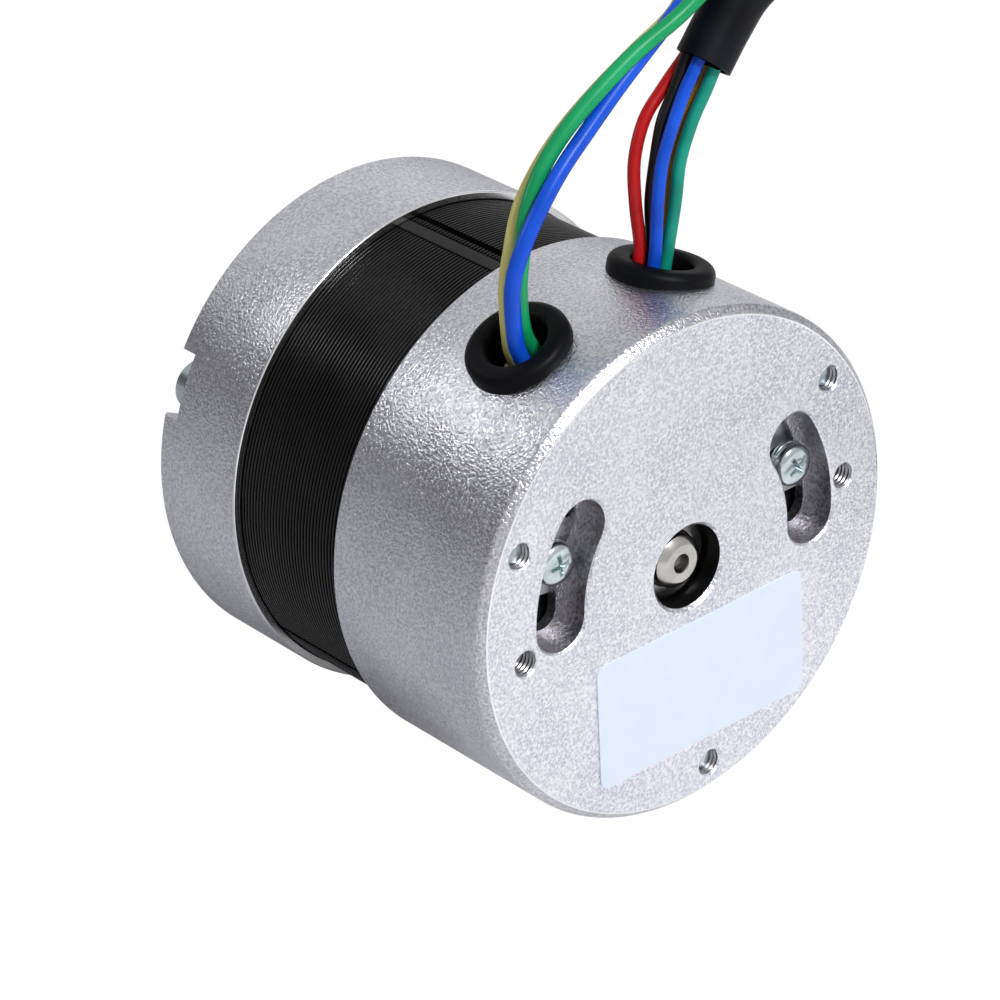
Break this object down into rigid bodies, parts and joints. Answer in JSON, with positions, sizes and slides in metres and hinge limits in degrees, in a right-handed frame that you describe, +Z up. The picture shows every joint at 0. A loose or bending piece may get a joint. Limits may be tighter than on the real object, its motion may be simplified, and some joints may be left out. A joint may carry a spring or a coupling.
{
  "type": "brushless dc motor",
  "caption": "Round brushless motor with cast end caps round a laminated stack, adjustable sensor timing, phase and sensor leads and an output shaft with a flat.",
  "frame": {"origin": "centre of the front mounting face, on the shaft axis", "axes": "+Y along the shaft axis from the mounting face to the rear face, +Z up, with the leads leaving upwards and the output shaft pointing towards -Y"},
  "size_m": [0.1016, 0.137, 0.093],
  "materials": {
    "cast": "sand-blasted cast",
    "steel": "ground",
    "zinc": "zinc plated",
    "laminations": "varnished electrical steel",
    "magnet": "nickel plated magnet",
    "copper": "enamelled wire",
    "nylon": "moulded",
    "dark_plastic": "moulded",
    "board": "solder mask",
    "rubber_black": "moulded",
    "lead_yellow": "extruded",
    "lead_green": "extruded",
    "lead_blue": "extruded",
    "lead_red": "extruded",
    "lead_black": "extruded",
    "lead_ochre": "extruded",
    "lead_teal": "extruded",
    "label_film": "printed film, left blank"
  },
  "bodies": {
    "housing": {"front_end_cap": "cast", "rear_end_cap": "cast", "stator_core": "laminations", "core_cleats": "laminations", "front_slot_insulator": "nylon", "rear_slot_insulator": "nylon", "phase_u_coils": "copper", "phase_v_coils": "copper", "phase_w_coils": "copper", "through_bolts": "zinc", "front_wave_washer": "steel", "front_bearing_outer_ring": "steel", "rear_bearing_outer_ring": "steel", "front_bearing_seals": "rubber_black", "rear_bearing_seals": "rubber_black", "phase_grommet": "rubber_black", "sensor_grommet": "rubber_black", "phase_lead_yellow": "lead_yellow", "phase_lead_green": "lead_green", "phase_lead_blue": "lead_blue", "sensor_lead_red": "lead_red", "sensor_lead_black": "lead_black", "sensor_lead_blue": "lead_blue", "sensor_lead_yellow": "lead_ochre", "sensor_lead_green": "lead_teal", "sensor_sleeve": "rubber_black", "sensor_tail_red": "lead_red", "sensor_tail_black": "lead_black", "sensor_tail_blue": "lead_blue", "sensor_tail_yellow": "lead_ochre", "sensor_tail_green": "lead_teal", "rating_label": "label_film"},
    "rotor": {"motor_shaft": "steel", "rotor_core": "laminations", "rotor_magnets": "magnet", "front_bearing_inner_ring": "steel", "rear_bearing_inner_ring": "steel"},
    "front_ball_set": {"front_bearing_balls": "steel", "front_bearing_cage": "zinc"},
    "rear_ball_set": {"rear_bearing_balls": "steel", "rear_bearing_cage": "zinc"},
    "timing_ring": {"sensor_carrier": "dark_plastic", "sensor_board": "board", "hall_sensors": "dark_plastic", "sensor_plug": "nylon", "timing_screws": "zinc", "timing_lock_washers": "zinc", "timing_plates": "zinc"}
  },
  "joints": [
    {"name": "shaft_spin", "type": "hinge", "parent": "housing", "child": "rotor", "pos_m": [0, 0, 0], "axis": [0, -1, 0], "continuous": true},
    {"name": "front_balls_spin", "type": "hinge", "parent": "housing", "child": "front_ball_set", "pos_m": [0, 0.006, 0], "axis": [0, -1, 0], "continuous": true},
    {"name": "rear_balls_spin", "type": "hinge", "parent": "housing", "child": "rear_ball_set", "pos_m": [0, 0.0488, 0], "axis": [0, -1, 0], "continuous": true},
    {"name": "timing_adjust", "type": "hinge", "parent": "housing", "child": "timing_ring", "pos_m": [0, 0.05, 0], "axis": [0, -1, 0], "range_deg": [-3.5, 3.5]}
  ],
  "couplings": [
    {"joint": "front_balls_spin", "follows": "shaft_spin", "ratio": 0.3677},
    {"joint": "rear_balls_spin", "follows": "shaft_spin", "ratio": 0.3676}
  ]
}
